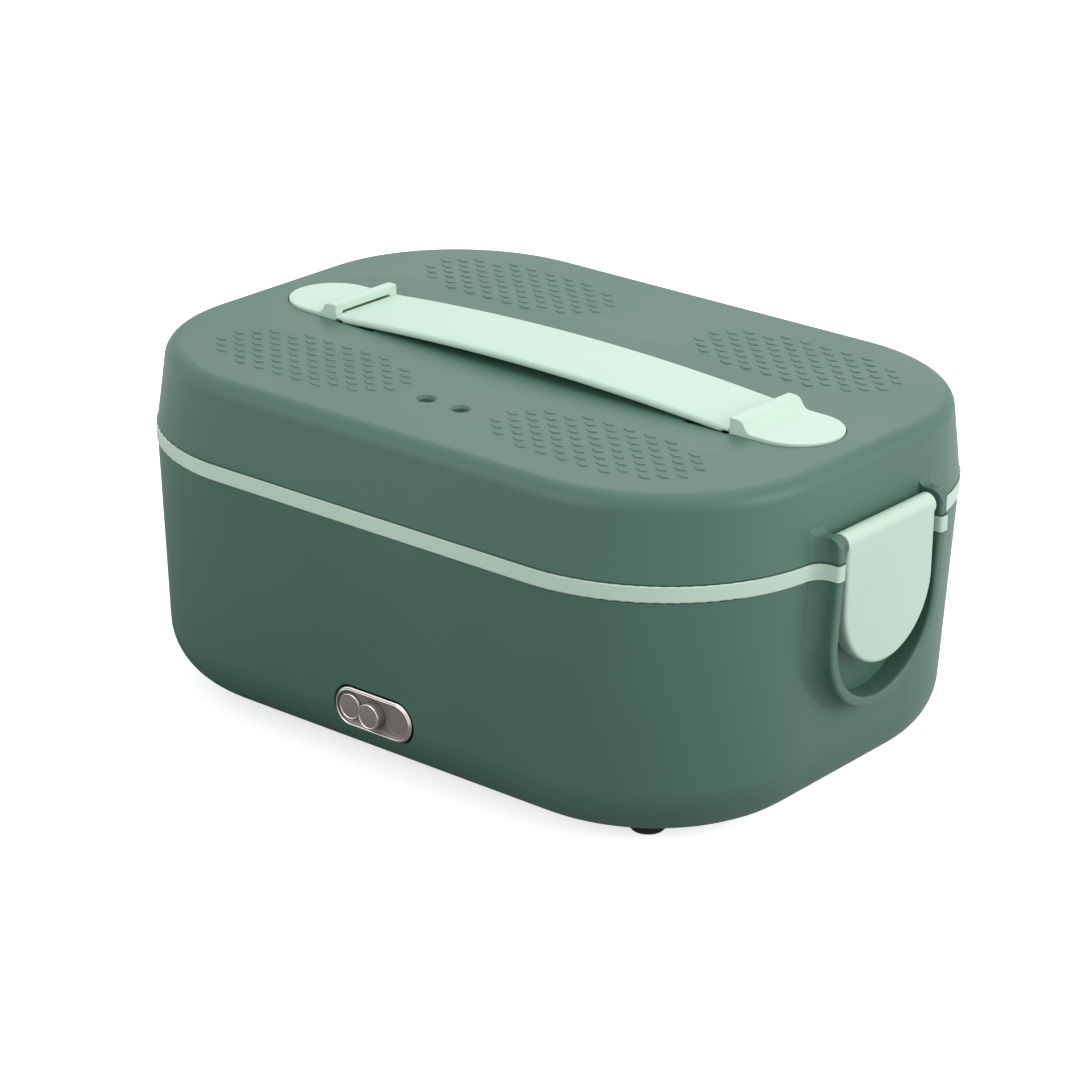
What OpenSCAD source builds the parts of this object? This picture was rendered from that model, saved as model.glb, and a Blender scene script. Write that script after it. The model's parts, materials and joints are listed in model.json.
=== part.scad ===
/* [Body] */
// Length of the body at the band, without the latch guards
body_length = 235; // [225:1:245]
// Width of the body at the band
body_width = 170; // [164:1:180]
// Corner radius of the outline at the band
corner_radius = 58; // [57:1:62]
// Height of the rubber feet
foot_height = 3; // [2:0.5:4]
// Height of the base shell above its feet
shell_height = 76.5; // [75:0.5:84]
// Height of the visible band of the inner liner
band_height = 5.4; // [5:0.1:6.5]
// Height of the lid above the band
lid_height = 24.6; // [24:0.2:30]
// How far the base wall leans in from the rim to the bottom
base_lean = 3.8; // [2:0.2:5]
// How far the lid wall leans in from its rim to its top
lid_lean = 3; // [1:0.2:4]
// Rounding radius of the bottom edge of the base
base_round = 18; // [15:0.5:19]
// Rounding radius of the top edge of the lid
lid_round = 5; // [3.5:0.5:6]
// Wall thickness of the outer shells
shell_wall = 2.4; // [2:0.1:2.6]
// How far the band stands out from the two shells
band_proud = 0.4; // [0.2:0.1:0.8]
// Thickness of the bottom of the base shell, with the seat of the cover
floor_thick = 4.8; // [4.4:0.1:5.4]

/* [Bottom] */
// Corner radius of the bottom cover
cover_r = 25.5; // [24:0.5:27]
// Thickness of the bottom cover
cover_thick = 2.4; // [2:0.1:2.8]
// Width of the ledge the bottom cover sits against
cover_ledge = 6; // [5.6:0.2:7]
// Gap around the bottom cover
cover_gap = 0.25; // [0.15:0.05:0.4]
// Diameter of the rubber feet
foot_d = 11; // [9:0.5:12]
// Distance of each foot from its corner centre
foot_reach = 34; // [33:0.5:35]
// Diameter of the stem that holds a foot
foot_stem = 5; // [4:0.5:6]
// Width of the cooling slots in the bottom cover
slot_width = 2.4; // [1.6:0.2:3]
// Length of the cooling slots in the bottom cover
slot_length = 34; // [24:1:40]

/* [Liner and tray] */
// Inset of the liner opening from the band outline
liner_inset = 10.5; // [10:0.25:12]
// Height of the liner floor above the table
liner_floor = 30; // [29:0.5:31]
// Wall thickness of the liner
liner_wall = 2; // [1.6:0.1:2.4]
// How far the liner wall leans in down to its floor
liner_lean = 3; // [2:0.25:4]
// Height of the lip that centres the liner in the shell
lip_height = 4.5; // [3:0.5:6]
// Clearance between that lip and the shell
lip_gap = 0.3; // [0.2:0.05:0.5]
// Depth of the ledge that takes the rim of the tray
ledge_depth = 4.3; // [4:0.1:4.6]
// Width of that ledge
ledge_width = 3.5; // [3.2:0.1:3.8]
// Thickness of the aluminium heating plate
plate_thick = 2; // [1.5:0.1:3]
// Gap between the walls of the tray and the liner
tray_gap = 1.7; // [1.4:0.1:2]
// Sheet thickness of the tray
tray_sheet = 0.8; // [0.6:0.1:1.2]
// Rounding radius of the bottom edge of the tray
tray_round = 8; // [7:0.5:9]
// Height of the lid of the tray
tray_lid_height = 6.5; // [6:0.25:7]
// Diameter of the steam valve in the lid of the tray
valve_d = 14; // [12:0.5:16]

/* [Heater] */
// Length of the heating element
ptc_length = 110; // [90:1:116]
// Width of the heating element
ptc_width = 24; // [18:1:28]
// Thickness of the heating element
ptc_thick = 5; // [4:0.25:5.5]
// Thickness of the clamping bar under the element
clamp_thick = 1.2; // [1:0.1:1.6]
// Width of the clamping bar
clamp_width = 12; // [10:0.5:14]
// Diameter of the thermal cut-out
cutout_d = 16; // [12:0.5:18]

/* [Control panel] */
// Height of the panel centre above the table
panel_z = 21; // [20.5:0.25:21.5]
// Width of the rim of the chrome bezel
bezel_rim = 1; // [0.7:0.1:1.3]
// Width of the panel plate left beyond the indicator lens
end_border = 0.4; // [0.3:0.1:0.8]
// Width of the panel plate left above and below the indicator lens
side_border = 0.85; // [0.75:0.05:1.1]
// Width of the black gasket around the bezel
gasket_width = 0.65; // [0.5:0.05:0.9]
// How far the gasket lies behind the face of the bezel
gasket_set = 2.4; // [2:0.1:2.8]
// Distance of the bezel face from the plane of the band
bezel_set = 2.5; // [2.3:0.1:2.8]
// Depth of the panel plate inside the bezel
panel_recess = 1.2; // [0.8:0.1:1.5]
// Distance between neighbouring buttons
button_pitch = 9; // [8:0.1:10.2]
// Web left between two buttons
button_web = 0.9; // [0.8:0.05:1.2]
// How much smaller the power button is than the mode button
power_less = 0.2; // [0.1:0.05:0.5]
// How much larger the indicator lens is than the mode button
lens_more = 0.6; // [0:0.1:0.7]
// How far the mode button stands out of the panel plate
mode_proud = 0.9; // [0.6:0.1:1.2]
// How far the power button stands out of the panel plate
power_proud = 3; // [2.5:0.1:3.2]
// Stroke of the buttons
button_stroke = 1; // [0.6:0.1:1.1]
// Radial clearance of the buttons in the panel plate
button_gap = 0.15; // [0.1:0.05:0.2]

/* [Power inlet] */
// Length of the mouth of the two-pin inlet
inlet_length = 17.4; // [17:0.1:18]
// Height of the mouth of the two-pin inlet
inlet_height = 9.6; // [9.2:0.1:10]
// Wall around the mouth of the inlet
inlet_wall = 2.2; // [1.8:0.1:2.4]
// Distance between the two pins
pin_pitch = 8.6; // [8.4:0.1:8.8]
// Diameter of the pins
pin_d = 2.36; // [2.2:0.02:2.5]

/* [Latches] */
// Half width of the latch flap
flap_half = 21.75; // [20:0.25:23]
// Distance from the end of the body to the face of the flap
flap_out = 6.2; // [6:0.1:6.6]
// Thickness of the flap
flap_thick = 2.4; // [2.2:0.1:2.6]
// Height of the flap's lowest point above the table
flap_low = 47.5; // [46:0.5:49]
// Radius of the rounded hinge barrel of the flap
barrel_r = 3.3; // [3.1:0.1:3.4]
// Height of the hinge pin above the band
pin_rise = 3.7; // [3.6:0.1:4.4]
// Diameter of the hinge pin
hinge_pin = 2.5; // [2:0.1:2.8]
// Clear gap between the flap and the guard on each side
flap_gap = 2; // [1.6:0.1:2.4]
// Thickness of the guard rim and the ears
guard_wall = 3.4; // [3.1:0.1:3.8]
// How far the guard stands out from the end of the body
guard_out = 6.7; // [6.5:0.1:7.3]
// Height of the guard's lowest point above the table
guard_low = 33.5; // [32.5:0.5:36]
// Radius of the hollow that blends the guard into the wall
fairing = 5; // [4:0.25:6]
// Radius of the outer top corner of the ears
ear_round = 3.5; // [3:0.25:4]
// Radius of the hollow that blends the top of the ears into the lid wall
ear_blend = 2.5; // [2:0.25:3]

/* [Handle] */
// Half width of the strap
strap_half = 14.9; // [13.5:0.1:15]
// Thickness of the strap
strap_thick = 2.4; // [2:0.1:2.6]
// Height of the strap's crown above the lid
strap_rise = 4.1; // [3.9:0.1:4.6]
// How far the strap falls from its crown to the mouths of the caps
strap_drop = 3.1; // [2.8:0.1:3.2]
// Distance from the middle to the bending lines of the strap
bend_x = 20; // [16:1:26]
// Distance from the end of the body to the mouth of a handle cap
cap_inset = 42; // [40:0.5:43]
// Length of a handle cap
cap_length = 27.5; // [26:0.5:28.5]
// Half width of a handle cap
cap_half = 14.3; // [14:0.1:15]
// Height of the hood of a cap above the lid
hood_rise = 4.1; // [3.8:0.1:4.6]
// Height of the flat part of a cap above the lid
cap_rise = 0.5; // [0.3:0.1:0.8]
// Depth of the pockets for the caps
pocket_depth = 4; // [3.9:0.1:4.3]
// Depth of the hollow in the top of the lid
dish_depth = 0.8; // [0.5:0.1:1]

/* [Lid] */
// Distance between the two vent holes
vent_pitch = 12.9; // [11:0.1:15]
// Diameter of the vent holes
vent_d = 4.8; // [4:0.1:5.4]
// Distance of the vent holes from the middle line
vent_y = 51.5; // [48:0.5:55]
// Height of the ceiling of the lid liner above the band
ceiling_rise = 13; // [12.5:0.25:13.5]
// Width of the silicone lid seal
seal_width = 1.5; // [1.2:0.1:1.7]

/* [Hidden] */
$fn = 48;

green = "#3f5f53";
mint = "#cfe8d8";
steel = "#c9ccce";
dark = "#2b2d2e";
grey = "#6a6765";
copper = "#b5713c";

arch_fn = 1440;
eps = 1;

end_x = body_length / 2;
side_y = body_width / 2;
cx = end_x - corner_radius;
cy = side_y - corner_radius;
rim_z = foot_height + shell_height;
band_top = rim_z + band_height;
lid_top = band_top + lid_height;
shell_r = corner_radius - band_proud;
inner_r = shell_r - shell_wall;
floor_top = foot_height + floor_thick;
cover_top = foot_height + cover_thick;

liner_r = corner_radius - liner_inset;
plate_z = liner_floor + liner_wall;
tray_z = plate_z + plate_thick;
ledge_z = band_top - ledge_depth;
liner_round = 6;
plate_r = liner_r - liner_lean - liner_round - 1;
tray_r = liner_r - tray_gap;
bead_r = 0.9;
tray_rim = ledge_z + 2.4;
rim_r = liner_r + ledge_width - 0.7;
opening_r = 12;

screw_shank = 1.4;
screw_bore = 1.45;
screw_head = 2.7;
head_thick = 1.6;
cover_screw_reach = cover_r - cover_ledge / 2;

mode_d = button_pitch - button_web;
power_d = mode_d - power_less;
lens_d = mode_d + lens_more;
bezel_length = 2 * button_pitch + lens_d + 2 * (end_border + bezel_rim);
bezel_height = lens_d + 2 * (side_border + bezel_rim);
gasket_length = bezel_length + 2 * gasket_width + 0.1;
gasket_height = bezel_height + 2 * gasket_width + 0.1;
bezel_y = -(side_y - bezel_set);
gasket_y = bezel_y + gasket_set;
panel_y = bezel_y + panel_recess;
panel_thick = 1.5;
board_y = bezel_y + 10.5;
board_thick = 1.6;
board_low = 12;
board_high = liner_floor - 1;
board_half = 28;
switch_tip = board_y - 4.6;
button_back = switch_tip - button_stroke - 0.1;
board_post_x = 23;
board_cap_d = 8;
plug_length = 14;

inlet_y = side_y - bezel_set;
inlet_deep = 20;
inlet_outer_l = inlet_length + 2 * inlet_wall + 5;
inlet_outer_h = inlet_height + 2 * inlet_wall - 0.6;
socket_depth = 15;
inlet_floor = inlet_y - socket_depth;
pin_neck_d = pin_d - 0.4;
pin_neck = 0.2;
pin_tail = 3;
pin_end = inlet_floor + 9.2;

guard_in = flap_half + flap_gap;
guard_edge = guard_in + guard_wall;
guard_x = end_x + guard_out;
guard_base = end_x - 4.5;
guard_cz = guard_low + guard_edge;
flap_x = end_x + flap_out;
flap_cz = flap_low + flap_half;
pin_x = flap_x - barrel_r;
pin_z = band_top + pin_rise;
ear_top = pin_z + barrel_r + 0.4;
base_angle = atan(base_lean / shell_height);
lid_angle = atan(lid_lean / lid_height);
sink = 0.06;
catch_z = rim_z - 5;
catch_x = end_x + 1.1;

mouth_x = end_x - cap_inset;
hinge_x = mouth_x - 1.9;
crown_z = lid_top + strap_rise;
hinge_z = crown_z - strap_thick / 2 - strap_drop;
mid_r = (hinge_x * hinge_x + strap_drop * strap_drop) / (2 * strap_drop);
strap_radius = mid_r + strap_thick / 2;
arch_z = crown_z - strap_radius;
bend_z = arch_z + sqrt(mid_r * mid_r - bend_x * bend_x);
bend_gap = 0.25;
pocket_z = lid_top - pocket_depth;
tail_half = 10.5;
tail_z = pocket_z + 1.8;
tail_long = 14.4;
tail_play = 3.6;
head_long = 3;
head_half = 12.2;
groove_z = hinge_z - strap_thick / 2 - 0.5;
groove_x = hinge_x - 14;
cap_out = mouth_x + cap_length;
cap_gap = 0.3;
cap_top = lid_top + cap_rise;
hood_top = lid_top + hood_rise;
cap_screw_x = cap_out - 5.5;
cap_screw_y = 6.5;
pad_thick = 2.2;

ceiling_z = band_top + ceiling_rise;
ceiling_top = ceiling_z + 2;
lid_slope = lid_lean / (lid_height - shell_wall + eps);
lid_liner_lean = lid_slope * (ceiling_top - band_top) + 0.1;
lid_liner_r = inner_r - 2 * lid_slope - 0.3;
lid_liner_wall = 2;
seal_high = 3.4;
lid_seal_r = lid_liner_r - lid_liner_wall - lid_slope * (seal_high + eps) - 0.35;
lid_boss_reach = 34;
lid_boss_d = 7;
lid_screw_length = 7;
cover_boss_d = 8;
clamp_boss_d = 7.6;
clamp_x = cx + opening_r + 4.5;
cutout_x = 36;
cutout_high = 5;
cutout_low = plate_z - 2 - cutout_high;
terminal_thick = 0.8;
lead_d = 1.8;
mains_lead_d = 2;
lead_x = 26;
lead_drop = 7;

// Section of a cup: a leaning wall, a rounded bottom edge and a flat bottom.
// x runs out from the corner centre.
module cup_section(r, low, high, lean, round) {
    s = lean / (high - low);
    n = sqrt(1 + s * s);
    cz = low + round;
    c = r - s * (high - cz) - round * n;
    polygon([[0, low], [c, low], [c, cz], [c + round / n, cz - round * s / n], [r, high], [0, high]]);
    intersection() {
        translate([c, cz]) circle(r = round);
        translate([c, low]) square([round * 2, round]);
    }
}

// The same section turned over, for the lid
module dome_section(r, low, high, lean, round) {
    translate([0, low + high]) mirror([0, 1]) cup_section(r, low, high, lean, round);
}

// Carries a section round the four corners and the four straight sides of the body
module sweep() {
    for (k = [0:3]) {
        sx = (k == 0 || k == 3) ? 1 : -1;
        sy = k < 2 ? 1 : -1;
        translate([sx * cx, sy * cy, 0]) rotate([0, 0, 90 * k]) rotate_extrude(angle = 90) children();
    }
    for (s = [0, 180]) rotate([0, 0, s]) {
        translate([cx, cy, 0]) rotate([90, 0, 0]) linear_extrude(2 * cy) children();
        translate([-cx, cy, 0]) rotate([90, 0, 90]) linear_extrude(2 * cx) children();
    }
}

module core(low, high) {
    translate([-cx, -cy, low]) cube([2 * cx, 2 * cy, high - low]);
}

module cup(r, low, high, lean, round) {
    sweep() cup_section(r, low, high, lean, round);
    core(low, high);
}

module dome(r, low, high, lean, round) {
    sweep() dome_section(r, low, high, lean, round);
    core(low, high);
}

// A flat plate with the rounded outline of the body, r from the corner centres
module plate(r, low, high) {
    sweep() translate([0, low]) square([r, high - low]);
    core(low, high);
}

module ring(r1, r2, low, high) {
    sweep() translate([r1, low]) square([r2 - r1, high - low]);
}

module stadium(length, height) {
    circle(d = height);
    translate([-(length - height) / 2, 0]) circle(d = height);
    translate([(length - height) / 2, 0]) circle(d = height);
    square([length - height, height], center = true);
}

// The cut-out for a stadium, with its ends drawn point by point
module cutout(length, height) {
    polygon([for (s = [-1, 1]) for (a = [-90:7.5:90])
        [s * ((length - height) / 2 + height / 2 * cos(a)), s * height / 2 * sin(a)]]);
}

// A stadium lying in the front wall, reaching from y1 to y2
module front_stadium(length, height, y1, y2) {
    translate([0, y2, panel_z]) rotate([90, 0, 0]) linear_extrude(y2 - y1) stadium(length, height);
}

module front_disc(x, d, y1, y2) {
    translate([x, y2, panel_z]) rotate([90, 0, 0]) cylinder(d = d, h = y2 - y1);
}

// Repeats children at the four corner centres, pushed out along the diagonal
module at_corners(reach, angle) {
    for (sx = [-1, 1]) for (sy = [-1, 1])
        translate([sx * (cx + reach * cos(angle)), sy * (cy + reach * sin(angle)), 0]) children();
}

module both_ends() {
    children();
    rotate([0, 0, 180]) children();
}

// Plan of one guard arm: x is the distance from the middle of the flap, y the distance from the body centre
module arm_plan(out, proud) {
    soft = 1;
    x1 = guard_in;
    x2 = guard_edge + proud;
    polygon([[x1, guard_base], [x2, guard_base], [x2, out - soft], [x2 - soft, out - soft],
        [x2 - soft, out], [x1 + soft, out], [x1 + soft, out - soft], [x1, out - soft]]);
    for (x = [x1 + soft, x2 - soft]) intersection() {
        translate([x, out - soft]) circle(r = soft);
        translate([x1, out - soft]) square([x2 - x1, soft]);
    }
}

// The hollow that blends an arm into the rounded body wall of radius r about its corner centre.
// Its circle touches the side of the arm and the wall, each sunk a little into it.
module fairing_plan(r, proud) {
    side = guard_edge + proud;
    off = max(0, side + fairing - cy);
    y = cx + sqrt(pow(r + fairing - sink, 2) - off * off);
    foot = side + fairing - off * fairing / (r + fairing);
    difference() {
        translate([side - 0.5, guard_base]) square([foot - side + 0.5, y - guard_base]);
        translate([side + fairing - 0.03, y]) circle(r = fairing);
    }
}

// The round bottom of the guard on the +X end
module guard() {
    translate([0, 0, guard_cz]) rotate([0, 90, 0]) rotate([0, 0, -90]) rotate_extrude(angle = 180) {
        arm_plan(guard_x, 0);
        fairing_plan(shell_r, 0);
    }
}

// Repeats a plan on both sides of the latch, from one height to another
module arm_pair(low, high) {
    for (s = [0, 1]) mirror([0, s, 0]) translate([0, 0, low]) linear_extrude(high - low)
        rotate(-90) mirror([1, 0]) children();
}

// Leans children inwards by an angle about the foot of the wall at height z
module lean(angle, z) {
    translate([end_x - band_proud, 0, z]) rotate([0, angle, 0]) translate([band_proud - end_x, 0, -z])
        children();
}

// Side view of an ear: rounded outer top corner and a hollow blend into the leaning lid wall
module ear_side() {
    blend_z = ear_top + ear_blend - 0.03;
    wall_x = end_x - band_proud - tan(lid_angle) * (blend_z - band_top);
    blend_x = wall_x + (ear_blend - sink) / cos(lid_angle);
    polygon([[guard_base, band_top], [guard_x, band_top], [guard_x, ear_top - ear_round],
        [guard_x - ear_round, ear_top - ear_round], [guard_x - ear_round, ear_top], [guard_base, ear_top]]);
    intersection() {
        translate([guard_x - ear_round, ear_top - ear_round]) circle(r = ear_round);
        translate([guard_x - ear_round, ear_top - ear_round]) square(ear_round);
    }
    difference() {
        translate([guard_base, ear_top - 0.5])
            square([blend_x - guard_base, 0.5 + ear_blend * (1 - sin(lid_angle))]);
        translate([blend_x, blend_z]) circle(r = ear_blend);
    }
}

module ears() {
    intersection() {
        union() {
            arm_pair(band_top, ear_top + 4) arm_plan(guard_x, 0);
            lean(-lid_angle, band_top) arm_pair(band_top - 2, ear_top + 4) fairing_plan(shell_r, 0);
        }
        translate([0, guard_edge + fairing + 1, 0]) rotate([90, 0, 0])
            linear_extrude(2 * (guard_edge + fairing + 1)) ear_side();
    }
}

// A post behind the front wall for the control board
module board_post() {
    difference() {
        translate([0, board_y, panel_z]) rotate([90, 0, 0]) cylinder(d = 5.4, h = side_y - 4 + board_y);
        translate([0, board_y + eps, panel_z]) rotate([90, 0, 0]) cylinder(r = 0.95, h = 6);
    }
}

module base_shell() {
    color(green) {
        difference() {
            union() {
                cup(shell_r, foot_height, rim_z, base_lean, base_round);
                both_ends() {
                    intersection() {
                        lean(base_angle, rim_z) {
                            guard();
                            arm_pair(guard_cz, rim_z + 2) {
                                arm_plan(guard_x, 0);
                                fairing_plan(shell_r, 0);
                            }
                        }
                        translate([0, -body_width / 2, 0]) cube([body_length, body_width, rim_z]);
                    }
                    translate([end_x - 5, -flap_half / 2, catch_z])
                        cube([catch_x - end_x + 5, flap_half, 2]);
                }
            }
            cup(inner_r, floor_top, rim_z + eps, base_lean, base_round - floor_thick + 1);
            plate(cover_r - cover_ledge, foot_height - eps, floor_top + eps);
            plate(cover_r, foot_height - eps, cover_top);
            at_corners(cover_screw_reach, 45) cylinder(r = screw_shank + 0.2, h = floor_top + eps);
            at_corners(foot_reach, 52) cylinder(d = foot_stem + 0.2, h = floor_top + eps);
            translate([0, board_y, panel_z]) rotate([90, 0, 0]) linear_extrude(side_y)
                cutout(gasket_length + 0.1, gasket_height + 0.1);
            translate([0, inlet_floor, panel_z]) rotate([-90, 0, 0]) linear_extrude(side_y)
                cutout(inlet_outer_l + 0.1, inlet_outer_h + 0.1);
        }
        for (x = [-board_post_x, board_post_x]) translate([x, 0, 0]) board_post();
    }
}

module bottom_cover() {
    color(dark) difference() {
        plate(cover_r - cover_gap, foot_height, cover_top);
        at_corners(cover_screw_reach, 45) {
            cylinder(r = screw_shank + 0.2, h = cover_top + eps);
            cylinder(r = screw_head + 0.2, h = foot_height + 1.4);
        }
        for (x = [-5:5]) for (y = [-1, 1])
            translate([x * 3 * slot_width - slot_width / 2, y * (slot_length / 2 + 5) - slot_length / 2, 0])
                cube([slot_width, slot_length, cover_top + eps]);
    }
}

// A pan-head screw standing head down, its shank reaching up from z = 0
module screw(length, shank, head, thick) {
    translate([0, 0, -0.3]) cylinder(r = shank, h = length + 0.3);
    difference() {
        translate([0, 0, -thick]) cylinder(r = head, h = thick);
        for (a = [0, 90]) rotate([0, 0, a]) translate([0, 0, -thick + 0.4])
            cube([head * 1.2, 0.7, 0.9], center = true);
    }
}

module cover_screws() {
    color(steel) at_corners(cover_screw_reach, 45) translate([0, 0, foot_height + 1.4])
        screw(floor_thick + 8, screw_shank, screw_head, 1.3);
}

module feet() {
    color(dark) at_corners(foot_reach, 52) {
        cylinder(d1 = foot_d - 1.4, d2 = foot_d, h = 0.8);
        translate([0, 0, 0.8]) cylinder(d = foot_d, h = foot_height - 0.8);
        cylinder(d = foot_stem, h = floor_top);
        translate([0, 0, floor_top]) cylinder(d1 = foot_stem + 2, d2 = foot_stem - 1, h = 2);
    }
}

module liner_section() {
    difference() {
        union() {
            cup_section(liner_r + liner_wall, liner_floor, band_top, liner_lean, liner_round + liner_wall);
            translate([liner_r - 1, rim_z]) square([corner_radius - liner_r + 1 - 0.6, band_height]);
            translate([liner_r, rim_z + 0.6]) square([corner_radius - liner_r, band_height - 1.2]);
            for (z = [rim_z + 0.6, band_top - 0.6]) translate([corner_radius - 0.6, z]) circle(r = 0.6);
            translate([liner_r + liner_wall - 1, ledge_z - 2])
                square([ledge_width + 1.2, rim_z - ledge_z + 2.5]);
            translate([inner_r - lip_gap - liner_wall, rim_z - lip_height])
                square([liner_wall, lip_height + 1]);
        }
        cup_section(liner_r, plate_z, band_top + eps, liner_lean, liner_round);
        translate([0, ledge_z]) square([liner_r + ledge_width, ledge_depth + eps]);
    }
}

module inner_liner() {
    color(mint) {
        difference() {
            union() {
                sweep() liner_section();
                core(liner_floor, plate_z);
                both_ends() arm_pair(rim_z, band_top) {
                    arm_plan(guard_x + band_proud, band_proud);
                    fairing_plan(corner_radius, band_proud);
                }
                at_corners(cover_screw_reach, 45) translate([0, 0, floor_top])
                    cylinder(d = cover_boss_d, h = liner_floor - floor_top + 0.5);
                for (x = [-clamp_x, clamp_x]) translate([x, 0, plate_z - ptc_thick])
                    cylinder(d = clamp_boss_d, h = ptc_thick - 0.5);
            }
            difference() {
                plate(opening_r, liner_floor - eps, plate_z + eps);
                for (x = [-clamp_x, clamp_x]) translate([x, 0, 0]) cylinder(d = clamp_boss_d, h = band_top);
            }
            at_corners(cover_screw_reach, 45) translate([0, 0, floor_top - eps])
                cylinder(r = screw_bore, h = 12);
            for (x = [-clamp_x, clamp_x]) translate([x, 0, plate_z - ptc_thick - eps])
                cylinder(r = screw_bore, h = ptc_thick);
        }
    }
}

module heating_plate() {
    color(steel) {
        sweep() {
            translate([0, plate_z]) square([plate_r, plate_thick - 0.4]);
            polygon([[0, plate_z + plate_thick - 0.4], [plate_r, plate_z + plate_thick - 0.4],
                [plate_r - 0.4, plate_z + plate_thick], [0, plate_z + plate_thick]]);
        }
        core(plate_z, plate_z + plate_thick);
    }
}

module ptc_heater() {
    color("#d8d4c8") {
        translate([-ptc_length / 2, -ptc_width / 2, plate_z - ptc_thick])
            cube([ptc_length, ptc_width, ptc_thick]);
    }
    color(copper) for (x = [-20, 20]) translate([x - 3, -ptc_width / 2 - 2, plate_z - ptc_thick + 2])
        cube([6, 3, 0.8]);
}

module heater_clamp() {
    color(steel) translate([0, 0, plate_z - ptc_thick - clamp_thick]) difference() {
        union() {
            translate([-clamp_x, -clamp_width / 2, 0]) cube([2 * clamp_x, clamp_width, clamp_thick]);
            for (x = [-clamp_x, clamp_x]) translate([x, 0, 0]) cylinder(d = clamp_width, h = clamp_thick);
        }
        for (x = [-clamp_x, clamp_x]) translate([x, 0, -eps])
            cylinder(r = screw_shank + 0.15, h = clamp_thick + 2 * eps);
        for (x = [-30, 0, 30]) translate([x, 0, -eps]) cylinder(d = 5, h = clamp_thick + 2 * eps);
    }
}

module clamp_screws() {
    color(steel) for (x = [-clamp_x, clamp_x]) translate([x, 0, plate_z - ptc_thick - clamp_thick])
        screw(ptc_thick - 0.8, screw_shank, screw_head, head_thick);
}

module thermal_cutout() {
    color("#4a2d24") translate([cutout_x, ptc_width / 2 + cutout_d / 2 + 2, cutout_low]) {
        cylinder(d = cutout_d, h = cutout_high);
        cylinder(d = cutout_d - 3, h = plate_z - cutout_low);
        for (s = [-1, 1]) translate([s * cutout_d / 4 - terminal_thick / 2, -3, -6])
            cube([terminal_thick, 6, 7]);
    }
}

module power_inlet() {
    color(dark) difference() {
        translate([0, inlet_y - inlet_deep, panel_z]) rotate([-90, 0, 0])
            linear_extrude(inlet_deep) stadium(inlet_outer_l, inlet_outer_h);
        translate([0, inlet_floor, panel_z]) rotate([-90, 0, 0])
            linear_extrude(side_y) stadium(inlet_length, inlet_height);
        for (x = [-1, 1]) translate([x * pin_pitch / 2, inlet_floor + eps, panel_z]) rotate([90, 0, 0])
            cylinder(d = pin_neck_d, h = inlet_deep);
    }
}

module inlet_pins() {
    tail_y = inlet_y - inlet_deep - pin_tail;
    color(steel) for (x = [-1, 1]) translate([x * pin_pitch / 2, 0, panel_z]) rotate([-90, 0, 0]) {
        translate([0, 0, tail_y]) cylinder(d = pin_neck_d, h = inlet_floor + pin_neck + 1 - tail_y);
        translate([0, 0, inlet_floor + pin_neck]) cylinder(d = pin_d, h = pin_end - inlet_floor - pin_neck);
        translate([0, 0, pin_end]) cylinder(d1 = pin_d, d2 = pin_d - 0.8, h = 0.8);
    }
}

module control_board() {
    color("#1f6b3a") difference() {
        translate([-board_half, board_y, board_low])
            cube([2 * board_half, board_thick, board_high - board_low]);
        for (x = [-board_post_x, board_post_x]) translate([x, board_y + board_thick + eps, panel_z])
            rotate([90, 0, 0]) cylinder(r = 1.1, h = board_thick + 2 * eps);
    }
    color(dark) for (x = [-button_pitch, 0]) {
        translate([x - 3, board_y - 3.4, panel_z - 3]) cube([6, 3.5, 6]);
        front_disc(x, 3, switch_tip, board_y - 3);
    }
    color("#e8e2d0") front_disc(button_pitch, 3, switch_tip + 1, board_y + 0.1);
    color("#1d4e89") translate([6, board_y + board_thick - 0.1, board_low + 3])
        cube([plug_length, 10, 12]);
    color(dark) translate([-12, board_y + board_thick - 0.1, panel_z]) rotate([-90, 0, 0])
        cylinder(d = board_cap_d, h = 11);
}

module board_screws() {
    color(steel) for (x = [-board_post_x, board_post_x])
        translate([x, board_y + board_thick, panel_z]) rotate([90, 0, 0]) screw(6, 0.9, 1.9, 1.2);
}

module lead(points, d) {
    for (i = [0:len(points) - 2]) {
        p = points[i];
        v = points[i + 1] - p;
        l = norm(v);
        translate(p) rotate([0, acos(v[2] / l), atan2(v[1], v[0])]) cylinder(d = d, h = l);
        if (i > 0) translate(p) sphere(d = 1.2 * d);
    }
}

module wiring() {
    y1 = inlet_y - inlet_deep - pin_tail - 0.1;
    y2 = board_y + board_thick + 0.1;
    x1 = pin_pitch / 2;
    x2 = board_post_x - 3;
    low_z = panel_z - lead_drop;
    tab_y = -ptc_width / 2 - 2.1;
    tab_z = plate_z - ptc_thick + 2.4;
    color("#2d2d33") for (s = [-1, 1])
        lead([[s * x1, y1, panel_z], [s * x1, y1 - 4, panel_z], [s * x1, y1 - 12, low_z],
            [s * x1, y2, low_z]], mains_lead_d);
    color("#b8322c") for (s = [-1, 1])
        lead([[s * lead_x, y2, panel_z - 5], [s * lead_x, y2 + 14, panel_z - 5],
            [s * x2, tab_y - 12, tab_z], [s * x2, tab_y, tab_z]], lead_d);
}

module control_bezel() {
    color(steel) difference() {
        union() {
            front_stadium(bezel_length, bezel_height, bezel_y + 0.5, board_y - 4.5);
            front_stadium(bezel_length - 1, bezel_height - 1, bezel_y, board_y - 5);
        }
        front_stadium(bezel_length - 2 * bezel_rim, bezel_height - 2 * bezel_rim, -side_y - eps, board_y);
    }
}

module panel_gasket() {
    color("#101414") difference() {
        front_stadium(gasket_length, gasket_height, gasket_y, board_y - 4.5);
        front_stadium(bezel_length + 0.1, bezel_height + 0.1, -side_y, board_y);
    }
}

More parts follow.
